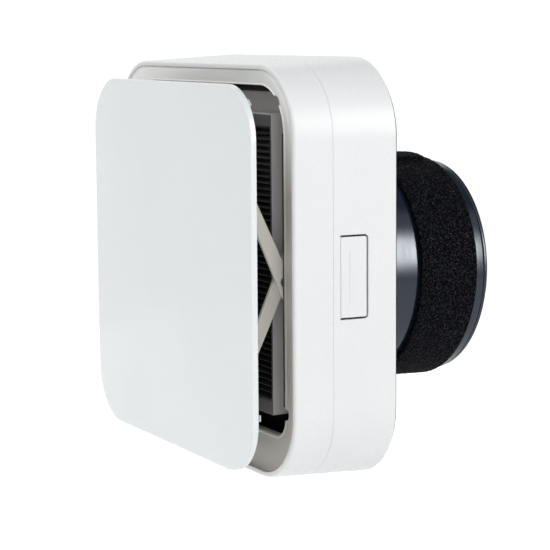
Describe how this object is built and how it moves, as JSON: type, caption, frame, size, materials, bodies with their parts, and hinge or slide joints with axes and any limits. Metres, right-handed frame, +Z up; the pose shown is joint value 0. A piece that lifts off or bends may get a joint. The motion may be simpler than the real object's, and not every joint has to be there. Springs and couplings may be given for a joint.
{
  "type": "heat recovery unit",
  "caption": "Wall-mounted heat recovery unit with a pop-out front panel on scissor arms, a pleated filter cassette and a foam-wrapped round duct holding fan and heat core",
  "frame": {"origin": "where the duct axis meets the wall plane, at the rear face of the wall gasket", "axes": "+Y points into the wall away from the room, +X points right seen from the room, +Z points up; the front panel faces -Y"},
  "size_m": [0.2674, 0.2114, 0.2674],
  "materials": {
    "shell_white": "satin",
    "panel_white": "satin",
    "bezel_grey": "satin",
    "casing_grey": "satin",
    "frame_grey": "satin",
    "filter_media": "felted",
    "arm_ivory": "satin",
    "steel": "bright",
    "zinc_plate": "zinc plated",
    "black_plastic": "satin",
    "black_gloss": "high gloss",
    "black_foam": "matte foam",
    "ceramic": "unglazed",
    "board_green": "satin",
    "copper": "varnished",
    "magnet": "sintered"
  },
  "bodies": {
    "housing": {"front_cover": "shell_white", "rear_shell": "shell_white", "bezel_ring": "bezel_grey", "inner_casing": "casing_grey", "filter_frame": "frame_grey", "pleated_filter": "filter_media", "dust_filter": "filter_media", "terminal_block": "arm_ivory", "back_screw_1": "steel", "back_screw_2": "steel", "back_screw_3": "steel", "back_screw_4": "steel", "duct_screw_1": "steel", "duct_screw_2": "steel", "duct_screw_3": "steel", "duct_screw_4": "steel", "bearing_front": "steel", "bearing_rear": "steel", "back_plate": "zinc_plate", "body_rail_right": "black_plastic", "body_rail_left": "black_plastic", "control_box": "black_plastic", "control_lid": "black_plastic", "cable_gland": "black_plastic", "insect_screen": "black_plastic", "fan_frame": "black_plastic", "duct_pipe": "black_gloss", "end_ring": "black_gloss", "wall_gasket": "black_foam", "foam_wrap": "black_foam", "filter_seal": "black_foam", "core_seal_front": "black_foam", "core_seal_rear": "black_foam", "heat_core": "ceramic", "control_board": "board_green", "transformer": "copper", "motor_stator": "copper"},
    "panel": {"front_panel": "panel_white", "panel_liner": "panel_white", "panel_rail_right": "arm_ivory", "panel_rail_left": "arm_ivory"},
    "arm_outer_right": {"arm_outer_right": "arm_ivory", "centre_pin_right": "steel"},
    "arm_outer_left": {"arm_outer_left": "arm_ivory", "centre_pin_left": "steel"},
    "arm_inner_right": {"arm_inner_right": "arm_ivory"},
    "arm_inner_left": {"arm_inner_left": "arm_ivory"},
    "rotor": {"impeller": "black_plastic", "magnet_ring": "magnet", "motor_shaft": "steel"},
    "latch_right": {"side_latch_right": "shell_white"},
    "latch_left": {"side_latch_left": "shell_white"}
  },
  "joints": [
    {"name": "panel_slide", "type": "slide", "parent": "housing", "child": "panel", "axis": [0, 1, 0], "range_m": [0, 0.0221]},
    {"name": "arm_outer_right_turn", "type": "hinge", "parent": "housing", "child": "arm_outer_right", "pos_m": [0.1025, -0.0427, -0.0407], "axis": [-1, 0, 0], "range_deg": [0, 12.7]},
    {"name": "arm_outer_left_turn", "type": "hinge", "parent": "housing", "child": "arm_outer_left", "pos_m": [-0.1025, -0.0427, -0.0407], "axis": [-1, 0, 0], "range_deg": [0, 12.7]},
    {"name": "arm_inner_right_turn", "type": "hinge", "parent": "panel", "child": "arm_inner_right", "pos_m": [0.098, -0.0867, -0.0407], "axis": [1, 0, 0], "range_deg": [0, 12.7]},
    {"name": "arm_inner_left_turn", "type": "hinge", "parent": "panel", "child": "arm_inner_left", "pos_m": [-0.098, -0.0867, -0.0407], "axis": [1, 0, 0], "range_deg": [0, 12.7]},
    {"name": "impeller_spin", "type": "hinge", "parent": "housing", "child": "rotor", "pos_m": [0, 0, 0], "axis": [0, 0.9994, -0.0349], "continuous": true},
    {"name": "latch_right_press", "type": "hinge", "parent": "housing", "child": "latch_right", "pos_m": [0.129, -0.0403, 0.0113], "axis": [0, 0, 1], "range_deg": [0, 6], "stiffness_Nm_per_rad": 0.5},
    {"name": "latch_left_press", "type": "hinge", "parent": "housing", "child": "latch_left", "pos_m": [-0.129, -0.0403, 0.0113], "axis": [0, 0, -1], "range_deg": [0, 6], "stiffness_Nm_per_rad": 0.5}
  ],
  "couplings": [
    {"joint": "arm_outer_right_turn", "follows": "panel_slide", "rad_per_m": 9.99},
    {"joint": "arm_outer_left_turn", "follows": "panel_slide", "rad_per_m": 9.99},
    {"joint": "arm_inner_right_turn", "follows": "panel_slide", "rad_per_m": 9.99},
    {"joint": "arm_inner_left_turn", "follows": "panel_slide", "rad_per_m": 9.99}
  ]
}
